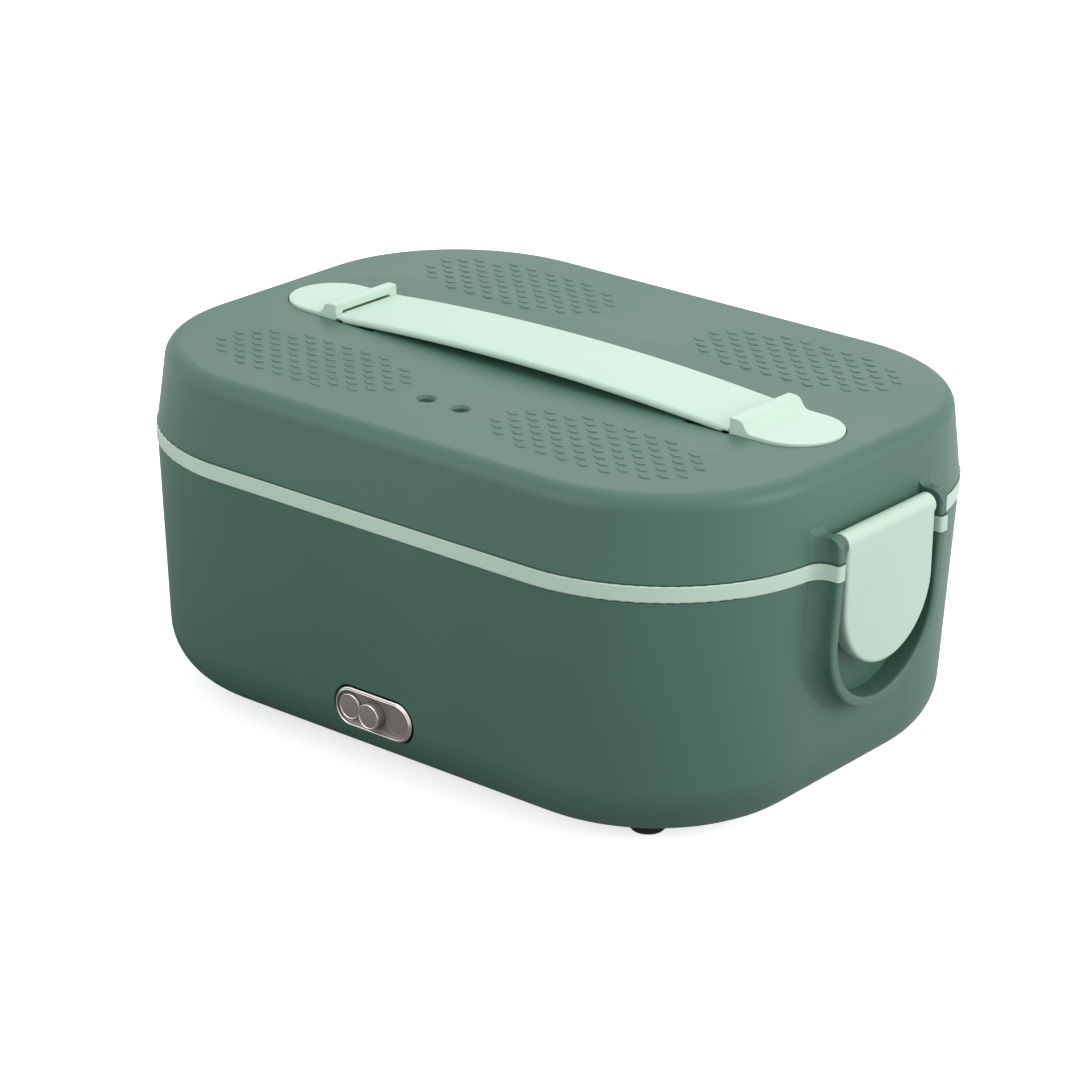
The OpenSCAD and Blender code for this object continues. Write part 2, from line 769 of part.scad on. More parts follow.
module control_panel() {
    color(grey) difference() {
        front_stadium(bezel_length - 2 * bezel_rim, bezel_height - 2 * bezel_rim,
            panel_y, panel_y + panel_thick);
        front_disc(-button_pitch, mode_d + 2 * button_gap, -side_y, 0);
        front_disc(0, power_d + 2 * button_gap, -side_y, 0);
        front_disc(button_pitch, lens_d + 0.1, -side_y, 0);
    }
}

// A button: rounded cap, flange behind the panel plate and a plunger that reaches to the switch
module button(x, d, proud) {
    front = panel_y - proud;
    back = panel_y + panel_thick + 1;
    translate([x, 0, panel_z]) rotate([90, 0, 0]) {
        translate([0, 0, -front - 0.5]) cylinder(d1 = d, d2 = d - 1, h = 0.5);
        translate([0, 0, -back]) cylinder(d = d, h = back - front - 0.5);
        intersection() {
            translate([0, 0, -back - 0.2]) cylinder(d = d + 2 * button_gap + 0.7, h = 1.1);
            translate([0, 0, -back]) cube([button_pitch - 0.5, bezel_height, 4], center = true);
        }
        translate([0, 0, -button_back]) cylinder(d = 3.4, h = button_back - back + 1);
    }
}

module mode_button() {
    color("#817d7a") button(-button_pitch, mode_d, mode_proud);
}

module power_button() {
    color("#7d7775") button(0, power_d, power_proud);
}

module indicator_lens() {
    color("#8a8582") {
        front_disc(button_pitch, lens_d, panel_y - 0.1, panel_y + panel_thick);
        front_disc(button_pitch, mode_d - 0.6, panel_y + panel_thick - 0.1, panel_y + panel_thick + 1);
    }
}

module food_tray() {
    color(steel) {
        sweep() {
            difference() {
                cup_section(tray_r, tray_z, tray_rim, liner_lean, tray_round);
                cup_section(tray_r - tray_sheet, tray_z + tray_sheet, tray_rim + eps, liner_lean,
                    tray_round - tray_sheet);
            }
            translate([tray_r - tray_sheet, tray_rim - tray_sheet])
                square([rim_r - bead_r - tray_r + tray_sheet, tray_sheet]);
            translate([rim_r - bead_r, tray_rim - bead_r]) circle(r = bead_r);
        }
        core(tray_z, tray_z + tray_sheet);
    }
}

module tray_lid() {
    top = tray_rim + tray_lid_height;
    color("#e7ece8") difference() {
        union() {
            sweep() {
                difference() {
                    dome_section(rim_r - 0.2, tray_rim + 0.6, top, 0.6, 2.5);
                    dome_section(rim_r - 2, tray_rim - 1, top - 1.6, 0.6, 0.3);
                }
                translate([rim_r - 6.4, tray_rim + 2.2]) square([1.4, tray_lid_height - 3]);
            }
            core(top - 1.6, top);
        }
        translate([0, 0, top - 3]) cylinder(d = valve_d - 4, h = 6);
    }
}

module tray_seal() {
    color("#f1efe6") ring(rim_r - 4.9, rim_r - 2.9, tray_rim, tray_rim + tray_lid_height - 1.6);
}

module tray_valve() {
    top = tray_rim + tray_lid_height;
    color("#f1efe6") difference() {
        union() {
            translate([0, 0, top - 2.6]) cylinder(d = valve_d - 4.4, h = 3);
            translate([0, 0, top]) cylinder(d1 = valve_d, d2 = valve_d - 2, h = 2.4);
            translate([0, 0, top - 3.6]) cylinder(d1 = valve_d - 3.6, d2 = valve_d - 2, h = 2);
        }
        translate([0, 0, top - 5]) cylinder(d = 3, h = 9);
    }
}

// The shallow hollow of the lid top: a long trough with round ends
module dish() {
    half = cap_half + 20;
    radius = (half * half + dish_depth * dish_depth) / (2 * dish_depth);
    reach = cap_out - half + 2;
    translate([0, 0, lid_top]) {
        for (s = [0, 180]) rotate([0, 0, s]) translate([reach, 0, 0]) rotate([0, 0, -90])
            rotate_extrude(angle = 180) dish_section(half, radius);
        translate([-reach, 0, 0]) rotate([90, 0, 90]) linear_extrude(2 * reach) {
            dish_section(half, radius);
            mirror([1, 0]) dish_section(half, radius);
        }
    }
}

module dish_section(half, radius) {
    intersection() {
        translate([0, radius - dish_depth]) circle(r = radius, $fn = arch_fn);
        translate([0, -dish_depth - eps]) square([half, dish_depth + eps]);
    }
}

module cap_plan(gap) {
    centre = cap_out - cap_half;
    translate([mouth_x - gap, -cap_half - gap]) square([centre - mouth_x + gap, 2 * (cap_half + gap)]);
    translate([centre, 0]) circle(r = cap_half + gap);
}

module lid_shell() {
    color(green) difference() {
        union() {
            difference() {
                union() {
                    dome(shell_r, band_top, lid_top, lid_lean, lid_round);
                    both_ends() ears();
                }
                dome(inner_r, band_top - eps, lid_top - shell_wall, lid_lean, lid_round - shell_wall);
            }
            both_ends() {
                translate([0, 0, pocket_z - pad_thick]) linear_extrude(lid_top - pocket_z)
                    cap_plan(1.6);
                translate([groove_x - 1.6, -strap_half - 2.2, groove_z - pad_thick])
                    cube([mouth_x - groove_x + 2, 2 * strap_half + 4.4,
                        lid_top - groove_z + pad_thick - 1.2]);
                translate([mouth_x - tail_play - 1.6, -tail_half - 2.1, pocket_z - pad_thick])
                    cube([tail_play + 2, 2 * tail_half + 4.2, lid_top - pocket_z + pad_thick - 1.2]);
            }
            at_corners(lid_boss_reach, 35) translate([0, 0, ceiling_top])
                cylinder(d = lid_boss_d, h = lid_top - ceiling_top - shell_wall + 0.5);
        }
        dish();
        both_ends() {
            translate([0, 0, pocket_z]) linear_extrude(10) cap_plan(cap_gap);
            translate([groove_x, -strap_half - 0.5, groove_z])
                cube([mouth_x - groove_x, 2 * strap_half + 1, 10]);
            translate([mouth_x - tail_play, -tail_half - 0.5, pocket_z])
                cube([tail_play + 1, 2 * tail_half + 1, 10]);
            for (y = [-cap_screw_y, cap_screw_y]) translate([cap_screw_x, y, 0])
                cylinder(r = screw_shank + 0.15, h = lid_top);
        }
        for (s = [-1, 1]) translate([s * vent_pitch / 2, -vent_y, 0]) {
            cylinder(d = vent_d, h = lid_top + eps);
            translate([0, 0, lid_top - 0.8]) cylinder(d1 = vent_d, d2 = vent_d + 1.8, h = 0.9);
        }
        at_corners(lid_boss_reach, 35) translate([0, 0, ceiling_top - eps])
            cylinder(r = screw_bore, h = lid_screw_length);
        for (s = [-1, 1]) translate([s * pin_x, guard_edge - 1.2, pin_z]) rotate([90, 0, 0])
            cylinder(d = hinge_pin, h = 2 * (guard_edge - 1.2));
    }
}

module lid_liner() {
    color(mint) difference() {
        union() {
            sweep() difference() {
                dome_section(lid_liner_r, band_top + 0.3, ceiling_top, lid_liner_lean, 4);
                dome_section(lid_liner_r - lid_liner_wall, band_top - eps, ceiling_z, lid_liner_lean, 2.5);
            }
            core(ceiling_z, ceiling_top);
        }
        at_corners(lid_boss_reach, 35) cylinder(r = screw_shank + 0.15, h = lid_top);
        for (s = [-1, 1]) translate([s * vent_pitch / 2, -vent_y, 0])
            cylinder(d = vent_d - 1.4, h = lid_top);
    }
}

module lid_seal() {
    color("#f1efe6") ring(lid_seal_r - seal_width, lid_seal_r, band_top, band_top + seal_high);
}

module lid_screws() {
    color(steel) at_corners(lid_boss_reach, 35) translate([0, 0, ceiling_z])
        screw(lid_screw_length, screw_shank, screw_head, 1.3);
}

module vent_insert() {
    color("#f1efe6") difference() {
        translate([0, -vent_y, ceiling_top]) linear_extrude(lid_top - shell_wall - ceiling_top)
            stadium(vent_pitch + vent_d + 4, vent_d + 4);
        for (s = [-1, 1]) translate([s * vent_pitch / 2, -vent_y, 0])
            cylinder(d = vent_d - 1.4, h = lid_top);
    }
}

// Side view of a cap: flat outer plate, S-shaped rise and the hood over the end of the strap
module cap_side() {
    run = 5.5;
    rise = hood_top - cap_top;
    r = (run * run + rise * rise) / (4 * rise);
    x2 = mouth_x + 2.5;
    x1 = x2 + run;
    difference() {
        union() {
            polygon([[mouth_x, pocket_z], [cap_out, pocket_z], [cap_out, cap_top], [x1, cap_top],
                [x2, hood_top], [mouth_x, hood_top]]);
            intersection() {
                translate([x2, hood_top - r]) circle(r = r);
                translate([x2, hood_top - r]) square([run / 2, r]);
            }
        }
        translate([x1, cap_top + r]) circle(r = r);
    }
}

module handle_cap() {
    difference() {
        intersection() {
            translate([0, 0, pocket_z - 1]) linear_extrude(hood_top - pocket_z + 2) cap_plan(0);
            translate([0, cap_half + 1, 0]) rotate([90, 0, 0]) linear_extrude(2 * cap_half + 2) cap_side();
        }
        translate([mouth_x - 1, -tail_half - 0.4, pocket_z - 1])
            cube([5, 2 * tail_half + 0.8, hinge_z + strap_thick / 2 + 0.5 - pocket_z + 1]);
        translate([mouth_x + 3, -tail_half - 0.4, pocket_z - 1])
            cube([5, 2 * tail_half + 0.8, 1 + cap_top - 1.2 - pocket_z]);
        translate([mouth_x + 6.2, -head_half - 0.4, pocket_z - 1])
            cube([9.4, 2 * head_half + 0.8, 1 + cap_top - 1.2 - pocket_z]);
        for (y = [-cap_screw_y, cap_screw_y]) translate([cap_screw_x, y, pocket_z - 1])
            cylinder(r = screw_bore, h = 1 + pocket_depth - 0.9);
    }
}

module handle_cap_right() {
    color(mint) handle_cap();
}

module handle_cap_left() {
    color(mint) mirror([1, 0, 0]) handle_cap();
}

module cap_screws() {
    color(steel) both_ends() for (y = [-cap_screw_y, cap_screw_y])
        translate([cap_screw_x, y, pocket_z - pad_thick]) screw(4.8, screw_shank, screw_head, 1.4);
}

// Cross-section of the strap: a flat bar with rounded edges
module strap_section() {
    r = strap_thick / 2 - 0.1;
    translate([strap_radius - strap_thick / 2, 0]) {
        square([strap_thick, 2 * (strap_half - r)], center = true);
        square([strap_thick - 2 * r, 2 * strap_half], center = true);
        for (x = [-1, 1]) for (y = [-1, 1])
            translate([x * (strap_thick / 2 - r), y * (strap_half - r)]) circle(r = r, $fn = 24);
    }
}

module strap_arc(x1, x2) {
    a1 = acos(x2 / mid_r);
    a2 = acos(x1 / mid_r);
    translate([0, 0, arch_z]) rotate([90, 0, 0]) rotate([0, 0, a1])
        rotate_extrude(angle = a2 - a1, $fn = arch_fn) strap_section();
}

module strap_mid() {
    color(mint) strap_arc(-bend_x + bend_gap, bend_x - bend_gap);
}

module strap_arm_right() {
    color(mint) strap_arc(bend_x + bend_gap, hinge_x - bend_gap);
}

module strap_arm_left() {
    color(mint) strap_arc(-hinge_x + bend_gap, -bend_x - bend_gap);
}

module strap_end() {
    top = hinge_z + strap_thick / 2;
    low = tail_z - strap_thick / 2;
    x1 = hinge_x + bend_gap;
    x2 = hinge_x + tail_long;
    translate([0, tail_half, 0]) rotate([90, 0, 0]) linear_extrude(2 * tail_half)
        polygon([[x1, top - strap_thick], [x1, top], [x1 + 1.4, top], [x1 + 5, tail_z + strap_thick / 2],
            [x2, tail_z + strap_thick / 2], [x2, low], [x1 + 4.4, low], [x1 + 1, top - strap_thick]]);
    translate([x2 - head_long, -head_half, low]) cube([head_long, 2 * head_half, strap_thick]);
}

module strap_end_right() {
    color(mint) strap_end();
}

module strap_end_left() {
    color(mint) mirror([1, 0, 0]) strap_end();
}

// Section of the flap: x is the distance from its middle line, y the distance from the body centre
module flap_section() {
    soft = 1.2;
    x = flap_x;
    polygon([[0, x - flap_thick], [flap_half, x - flap_thick], [flap_half, x - soft],
        [flap_half - soft, x - soft], [flap_half - soft, x], [0, x]]);
    intersection() {
        translate([flap_half - soft, x - soft]) circle(r = soft);
        translate([flap_half - soft, x - soft]) square(soft);
    }
}

module skirt_section() {
    translate([flap_half - 2.4, end_x + 1.1]) square([1.8, flap_x - flap_thick - end_x]);
}

module latch() {
    difference() {
        union() {
            translate([0, 0, flap_cz]) rotate([0, 90, 0]) rotate([0, 0, -90]) rotate_extrude(angle = 180)
                flap_section();
            for (s = [0, 1]) mirror([0, s, 0]) translate([0, 0, flap_cz]) linear_extrude(pin_z - flap_cz)
                rotate(-90) mirror([1, 0]) flap_section();
            translate([pin_x, flap_half, pin_z]) rotate([90, 0, 0])
                cylinder(r = barrel_r, h = 2 * flap_half);
            difference() {
                translate([0, 0, flap_cz]) rotate([0, 90, 0]) rotate([0, 0, -90]) rotate_extrude(angle = 180)
                    skirt_section();
                translate([end_x - 5, -flap_half, flap_low - 5]) cube([20, 2 * flap_half, 9]);
            }
            for (s = [0, 1]) mirror([0, s, 0]) translate([0, 0, flap_cz])
                linear_extrude(rim_z - 4 - flap_cz) rotate(-90) mirror([1, 0]) skirt_section();
            translate([catch_x + 0.5, -flap_half / 2 + 1, catch_z - 3])
                cube([flap_x - flap_thick - catch_x, flap_half - 2, 2.4]);
        }
        translate([pin_x, flap_half + eps, pin_z]) rotate([90, 0, 0])
            cylinder(d = hinge_pin + 0.1, h = 2 * (flap_half + eps));
    }
}

module latch_right() {
    color(mint) latch();
}

module latch_left() {
    color(mint) rotate([0, 0, 180]) latch();
}

module hinge_pins() {
    color(steel) for (s = [-1, 1]) translate([s * pin_x, guard_edge - 1.4, pin_z]) rotate([90, 0, 0])
        cylinder(d = hinge_pin, h = 2 * (guard_edge - 1.4));
}

base_shell();
bottom_cover();
cover_screws();
feet();
inner_liner();
heating_plate();
ptc_heater();
heater_clamp();
clamp_screws();
thermal_cutout();
power_inlet();
inlet_pins();
control_board();
board_screws();
wiring();
control_bezel();
control_panel();
mode_button();
power_button();
indicator_lens();
panel_gasket();
food_tray();
tray_lid();
tray_seal();
tray_valve();
lid_shell();
lid_liner();
lid_seal();
lid_screws();
vent_insert();
handle_cap_left();
handle_cap_right();
cap_screws();
strap_mid();
strap_arm_left();
strap_arm_right();
strap_end_left();
strap_end_right();
latch_left();
latch_right();
hinge_pins();
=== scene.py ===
"""Electric lunch box: finishes, soft strap, lid relief and studio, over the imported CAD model."""
import json
import math

import bmesh
import bpy
from mathutils import Matrix, Vector


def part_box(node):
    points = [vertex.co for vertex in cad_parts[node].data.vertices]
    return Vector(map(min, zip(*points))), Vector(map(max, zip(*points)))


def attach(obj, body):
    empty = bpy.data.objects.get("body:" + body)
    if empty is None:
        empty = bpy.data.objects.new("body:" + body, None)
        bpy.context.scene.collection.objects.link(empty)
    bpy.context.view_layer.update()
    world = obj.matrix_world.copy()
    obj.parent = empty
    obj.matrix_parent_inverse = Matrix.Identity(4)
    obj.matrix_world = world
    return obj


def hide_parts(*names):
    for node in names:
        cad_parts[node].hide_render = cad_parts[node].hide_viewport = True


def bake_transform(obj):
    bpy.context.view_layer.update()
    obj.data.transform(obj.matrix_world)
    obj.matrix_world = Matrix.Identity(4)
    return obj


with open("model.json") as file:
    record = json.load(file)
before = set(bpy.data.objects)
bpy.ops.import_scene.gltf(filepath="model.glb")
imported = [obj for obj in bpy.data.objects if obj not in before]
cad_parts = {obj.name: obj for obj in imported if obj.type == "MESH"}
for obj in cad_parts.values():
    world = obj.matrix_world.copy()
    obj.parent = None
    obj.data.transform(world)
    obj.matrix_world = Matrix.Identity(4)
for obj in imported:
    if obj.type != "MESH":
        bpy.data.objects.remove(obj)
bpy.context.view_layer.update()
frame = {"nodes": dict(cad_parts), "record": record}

bl_info = {
    "name": "Electric Lunch Box",
    "version": (1, 0, 0),
    "blender": (4, 5, 0),
    "location": "View3D > Sidebar > Lunch Box",
    "description": "Finishes, strap, lid relief and studio of an electric lunch box",
    "category": "Object",
}

MM = 0.001
MERGE = 1e-6  # points nearer than this are one, in metres
FLAT = math.radians(0.6)  # facets that turn less than this are one face
CREASE = math.radians(32)  # edges that turn more than this show as edges
CORNER = math.radians(38)  # edges that turn more than this are rounded
LID_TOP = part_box("lid_shell")[1][2]  # the flat top of the lid
SEAMS = (79.5 * MM, 84.9 * MM)  # heights at which the mint band meets the base and the lid
PAINTED_SEAM_SHADE = (0.07, 0.11, 0.09, 1)  # painted shade: the share of its colour that the band's moulding keeps outside the band, so that the seams look shadowed
STRAP_SPLIT = 0.5 * MM  # gap between the strap's middle length and its arms in the CAD model
STRAP_ROUND = 0.45  # rounding of the strap's long edges, as a share of its thickness
TUCK_THIN = 0.6  # thickness of the strap's tucked ends, as a share of the rest
DIAMOND_TOP = 0.68  # width of a diamond's flat top, as a share of its foot


def linear(code):
    """An sRGB hex value as linear red, green and blue."""
    parts = [int(code[i : i + 2], 16) / 255 for i in (1, 3, 5)]
    return tuple(c / 12.92 if c <= 0.04045 else ((c + 0.055) / 1.055) ** 2.4 for c in parts)


def colour(name, code, text):
    """A colour that a user may change."""
    return bpy.props.FloatVectorProperty(
        name=name, description=text, subtype="COLOR", size=3, min=0, max=1, default=linear(code)
    )


def size(name, mm, text):
    """A length that a user may change, given in millimetres."""
    return bpy.props.FloatProperty(
        name=name, description=text, unit="LENGTH", subtype="DISTANCE", min=0, default=mm * MM
    )


class LunchBoxColours(bpy.types.PropertyGroup):
    """Colours of the moulded and metal finishes."""

    sage: colour("Sage", "#456a5d", "Moulded green of the base and the lid")
    mint: colour("Mint", "#cde6d6", "Moulded mint of the band, the caps and the latches")
    strap: colour("Strap", "#cde8d8", "Soft mint of the strap")
    panel: colour("Panel", "#8f8986", "Metallised grey of the panel and its buttons")
    floor: colour("Floor", "#f2f2f2", "Studio floor as the camera sees it")
    flag: colour("Floor's bounce", "#959595", "Grey that the studio floor throws back onto the object")


class LunchBoxSizes(bpy.types.PropertyGroup):
    """Sizes of the relief, the strap and the softened edges."""

    diamond_long: size("Diamond length", 5.4, "Length of one raised diamond of the lid relief")
    diamond_wide: size("Diamond width", 2.7, "Width of one raised diamond of the lid relief")
    diamond_high: size("Diamond height", 0.26, "Height of one raised diamond of the lid relief")
    pitch_long: size("Pitch along", 7.5, "Distance between the diamonds of one row")
    pitch_wide: size("Pitch across", 3.85, "Distance between two rows of diamonds")
    patch_long: size("Patch half length", 34, "Half length of a patch of relief")
    patch_wide: size("Patch half width", 17, "Half width of a patch of relief")
    patch_x: size("Patch centre along", 54, "Distance along the box from the lid's centre to a patch's")
    patch_y: size("Patch centre across", 48.5, "Distance across from the lid's centre to a patch's")
    strap_thick: size("Strap thickness", 2.4, "Thickness of the strap")
    strap_end: size("Strap half width at its ends", 14.5, "Half width of the strap at the caps")
    strap_mid: size("Strap half width in the middle", 14.9, "Half width of the strap in the middle")
    strap_tuck: size("Strap tuck", 1.8, "How far the strap runs on towards the caps' mouths")
    rim_wide: size("Button rim", 0.3, "Half width of the polished rims of the buttons")
    rim_inset: size("Button rim inset", 0.8, "Distance of a button's rim from the edge of its flange")
    lens_inset: size("Lens rim inset", 0.15, "Distance of the lens's rim from its edge")
    cap_edge: size("Cap rounding", 0.9, "Rounding of the edges of the handle caps")
    latch_edge: size("Latch rounding", 0.36, "Rounding of the edges of the latches")
    bezel_edge: size("Bezel rounding", 0.3, "Rounding of the edges of the bezel")
    button_edge: size("Button rounding", 0.35, "Rounding of the edges of the buttons")
    # painted shadow: the seam is a darkened strip at each edge of the band
    seam: size("Seam", 0.28, "Height of the dark seam at each edge of the band")


# Materials


def new_material(name):
    """A material with no nodes yet."""
    m = bpy.data.materials.new(name)
    m.use_nodes = True
    m.node_tree.nodes.clear()
    return m


def add(m, kind, settings=None, **links):
    """Adds a node. Settings are its own properties. Links are values or (node, output) pairs, each
    under its socket's name, or under the socket's number after an underscore."""
    n = m.node_tree.nodes.new(kind)
    for key, value in (settings or {}).items():
        setattr(n, key, value)
    for key, value in links.items():
        socket = n.inputs[int(key[1:])] if key[0] == "_" else n.inputs[key.replace("_", " ")]
        if isinstance(value, tuple) and value and isinstance(value[0], bpy.types.Node):
            m.node_tree.links.new(value[0].outputs[value[1]], socket)
        else:
            socket.default_value = value
    return n


def finish_shader(m, **values):
    """Closes a material with its shader, whose values are given as add takes them."""
    shader = add(m, "ShaderNodeBsdfPrincipled", **values)
    add(m, "ShaderNodeOutputMaterial", Surface=(shader, "BSDF"))
    return m


def moulded(name, rgb, rough, grain, depth, drift=0.05, edge=0.4, shine=0.5, tint=(1, 1, 1)):
    """Spark-textured injection moulding. It has an even colour that drifts slowly in tone every 55 mm,
    a fine sandy bump, a gloss that wanders a little where the mould is worn, and rounded edges."""
    m = new_material(name)
    at = add(m, "ShaderNodeTexCoord")
    slow = add(
        m,
        "ShaderNodeTexNoise",
        Vector=(at, "Object"),
        Scale=1 / (55 * MM),
        Detail=2.0,
        Roughness=0.5,
    )
    fine = add(
        m,
        "ShaderNodeTexNoise",
        Vector=(at, "Object"),
        Scale=1 / (grain * MM),
        Detail=3.0,
        Roughness=0.6,
    )
    patches = add(m, "ShaderNodeMapRange", Value=(slow, "Fac"), From_Min=0.3, From_Max=0.7)
    tone = add(
        m,
        "ShaderNodeMix",
        {"data_type": "RGBA"},
        Factor=(patches, "Result"),
        _6=(*[c * (1 - drift) for c in rgb], 1),
        _7=(*[min(1, c * (1 + drift)) for c in rgb], 1),
    )
    pits = add(
        m,
        "ShaderNodeMapRange",
        Value=(fine, "Fac"),
        From_Min=0.2,
        From_Max=0.8,
        To_Min=0.93,
        To_Max=1.0,
    )
    speck = add(
        m,
        "ShaderNodeMix",
        {"data_type": "RGBA", "blend_type": "MULTIPLY"},
        Factor=0.35,
        _6=(tone, 2),
        _7=(pits, "Result"),
    )
    gloss = add(
        m,
        "ShaderNodeMapRange",
        Value=(slow, "Fac"),
        From_Min=0.3,
        From_Max=0.7,
        To_Min=rough - 0.03,
        To_Max=rough + 0.04,
    )
    rounded = {}
    if edge:
        rounded["Normal"] = (add(m, "ShaderNodeBevel", {"samples": 4}, Radius=edge * MM), "Normal")
    bump = add(
        m,
        "ShaderNodeBump",
        Strength=0.35,
        Distance=depth * MM,
        Height=(fine, "Fac"),
        **rounded,
    )
    return finish_shader(
        m,
        Base_Color=(speck, 2),
        Roughness=(gloss, "Result"),
        IOR=1.49,
        Specular_IOR_Level=shine,
        Specular_Tint=(*tint, 1),
        Normal=(bump, "Normal"),
    )


def paint_seam_shade(m, low, high, dark):
    """Paints shade onto a moulding outside the height of its band, less a seam at each edge. On the
    closed box that shows as painted shadow in the open seams between the band and the shells."""
    shader = next(n for n in m.node_tree.nodes if n.type == "BSDF_PRINCIPLED")
    plain_tone = shader.inputs["Base Color"].links[0].from_socket
    at = add(m, "ShaderNodeTexCoord")
    place = add(m, "ShaderNodeSeparateXYZ", Vector=(at, "Object"))
    lit = add(
        m,
        "ShaderNodeMath",
        {"operation": "COMPARE"},
        _0=(place, "Z"),
        _1=(low + high) / 2,
        _2=(high - low) / 2 - dark,
    )
    # painted shade outside the band and in its seams
    shaded = add(
        m,
        "ShaderNodeMix",
        {"data_type": "RGBA"},
        Factor=(lit, 0),
        _6=PAINTED_SEAM_SHADE,
        _7=(1, 1, 1, 1),
    )
    tone = add(
        m,
        "ShaderNodeMix",
        {"data_type": "RGBA", "blend_type": "MULTIPLY"},
        Factor=1.0,
        _7=(shaded, 2),
    )
    m.node_tree.links.new(plain_tone, tone.inputs[6])
    m.node_tree.links.new(tone.outputs[2], shader.inputs["Base Color"])
    return m


def rubbery(name, rgb, rough, grain):
    """Moulded rubber or silicone: dull, slightly dusty, with a soft sheen at grazing angles."""
    m = new_material(name)
    at = add(m, "ShaderNodeTexCoord")
    dust = add(
        m,
        "ShaderNodeTexNoise",
        Vector=(at, "Object"),
        Scale=1 / (grain * MM),
        Detail=5.0,
        Roughness=0.65,
    )
    patches = add(m, "ShaderNodeMapRange", Value=(dust, "Fac"), From_Min=0.35, From_Max=0.7)
    tone = add(
        m,
        "ShaderNodeMix",
        {"data_type": "RGBA"},
        Factor=(patches, "Result"),
        _6=(*rgb, 1),
        _7=(*[min(1, c * 1.18 + 0.004) for c in rgb], 1),
    )
    bump = add(m, "ShaderNodeBump", Strength=0.3, Distance=0.05 * MM, Height=(dust, "Fac"))
    return finish_shader(
        m,
        Base_Color=(tone, 2),
        Roughness=rough,
        IOR=1.43,
        Sheen_Weight=0.15,
        Sheen_Roughness=0.5,
        Normal=(bump, "Normal"),
    )


def brushed(name, rgb, rough, grain):
    """Brushed or rolled metal: fine scratches along X in the gloss and the bump, fifty times as long
    as they are wide, and drawn 0.3 to 0.6 mm apart, coarser than real ones, to show."""
    m = new_material(name)
    at = add(m, "ShaderNodeTexCoord")
    stretch = add(m, "ShaderNodeMapping", Vector=(at, "Object"), Scale=(0.02, 1.0, 1.0))
    lines = add(
        m,
        "ShaderNodeTexNoise",
        Vector=(stretch, "Vector"),
        Scale=1 / (grain * MM),
        Detail=4.0,
        Roughness=0.7,
    )
    streaks = add(m, "ShaderNodeMapRange", Value=(lines, "Fac"), From_Min=0.3, From_Max=0.7)
    tone = add(
        m,
        "ShaderNodeMix",
        {"data_type": "RGBA"},
        Factor=(streaks, "Result"),
        _6=(*[c * 0.9 for c in rgb], 1),
        _7=(*rgb, 1),
    )
    gloss = add(
        m,
        "ShaderNodeMapRange",
        Value=(lines, "Fac"),
        From_Min=0.3,
        From_Max=0.7,
        To_Min=rough - 0.05,
        To_Max=rough + 0.07,
    )
    bump = add(m, "ShaderNodeBump", Strength=0.15, Distance=0.02 * MM, Height=(lines, "Fac"))
    return finish_shader(
        m, Base_Color=(tone, 2), Metallic=1.0, Roughness=(gloss, "Result"), Normal=(bump, "Normal")
    )


def plated(name, rgb, rough, metal=1.0):
    """Vacuum-plated or turned metal: a bright skin with faint wear in the gloss, 1.8 mm apart."""
    m = new_material(name)
    at = add(m, "ShaderNodeTexCoord")
    wear = add(
        m,
        "ShaderNodeTexNoise",
        Vector=(at, "Object"),
        Scale=1 / (1.8 * MM),
        Detail=6.0,
        Roughness=0.7,
    )
    gloss = add(
        m,
        "ShaderNodeMapRange",
        Value=(wear, "Fac"),
        From_Min=0.4,
        From_Max=0.75,
        To_Min=rough,
        To_Max=rough + 0.09,
    )
    marks = add(m, "ShaderNodeMapRange", Value=(wear, "Fac"), From_Min=0.3, From_Max=0.8)
    tone = add(
        m,
        "ShaderNodeMix",
        {"data_type": "RGBA"},
        Factor=(marks, "Result"),
        _6=(*rgb, 1),
        _7=(*[c * 0.93 for c in rgb], 1),
    )
    return finish_shader(m, Base_Color=(tone, 2), Metallic=metal, Roughness=(gloss, "Result"))


def circuit(name, rgb):
    """Solder-masked board: green lacquer over faint copper tracks 1.5 mm apart, as a row of the brick
    texture is a quarter of its unit high."""
    m = new_material(name)
    at = add(m, "ShaderNodeTexCoord")
    tracks = add(
        m,
        "ShaderNodeTexBrick",
        {"offset": 0.37},
        Vector=(at, "Object"),
        Scale=0.25 / (1.5 * MM),
        Mortar_Size=0.06,
        Color1=(*rgb, 1),
        Color2=(*[c * 0.8 for c in rgb], 1),
        Mortar=(*[min(1, c * 2.0) for c in rgb], 1),
    )
    return finish_shader(m, Base_Color=(tracks, "Color"), Roughness=0.35, IOR=1.52, Coat_Weight=0.3)


def milky(name, rgb, rough):
    """Natural polypropylene: milky, lets a little light through, with faint flow marks round the gate
    about 19 mm apart, as the texture's rings are 0.31 of its unit apart."""
    m = new_material(name)
    at = add(m, "ShaderNodeTexCoord")
    flow = add(
        m,
        "ShaderNodeTexWave",
        {"wave_type": "RINGS"},
        Vector=(at, "Object"),
        Scale=1 / (60 * MM),
        Distortion=3.0,
        Detail=2.0,
    )
    tone = add(
        m,
        "ShaderNodeMix",
        {"data_type": "RGBA"},
        Factor=(flow, "Fac"),
        _6=(*[c * 0.96 for c in rgb], 1),
        _7=(*rgb, 1),
    )
    return finish_shader(
        m,
        Base_Color=(tone, 2),
        Roughness=rough,
        IOR=1.49,
        Transmission_Weight=0.15,
        Subsurface_Weight=0.1,
    )


def mint_moulding(name):
    """Polypropylene, fine matt: a touch glossier than the shells."""
    return moulded(name, tuple(bpy.context.scene.lunch_box_colours.mint), 0.42, 0.45, 0.015, 0.02)


